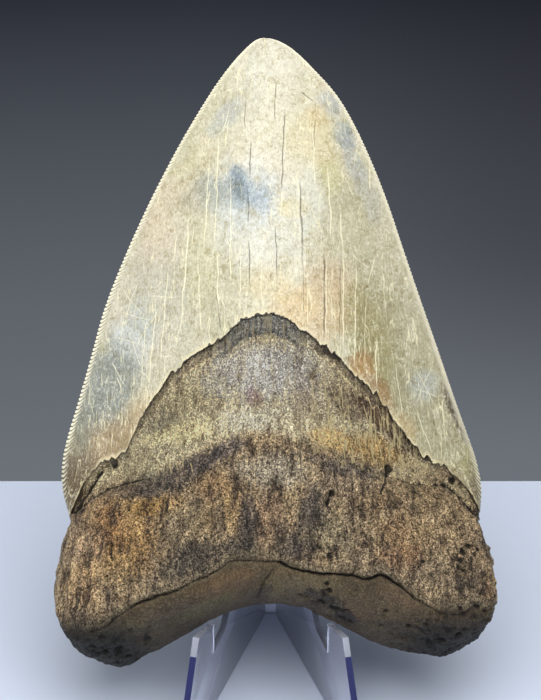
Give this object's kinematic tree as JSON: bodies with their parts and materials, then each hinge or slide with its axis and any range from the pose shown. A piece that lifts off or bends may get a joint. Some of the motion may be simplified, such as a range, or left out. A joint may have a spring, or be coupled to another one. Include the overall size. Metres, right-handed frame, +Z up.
{
  "type": "fossil shark tooth on easel",
  "caption": "Large fossil megalodon tooth with cream serrated crown, dark collar and two-lobed brown root, leaning back on a small clear plastic easel.",
  "frame": {"origin": "on the table under the middle of the whole display's box", "axes": "+Z up, the shown face of the tooth looks along -Y and leans back towards +Y, +X to the right of someone facing it"},
  "size_m": [0.1028, 0.0857, 0.1444],
  "materials": {
    "tooth": "cream enamel with fine cracks, dark grey-brown collar, grainy brown root",
    "stand": "clear polished plastic with blue-grey edges"
  },
  "bodies": {
    "root": {"tooth": "tooth", "stand": "stand"}
  },
  "joints": []
}
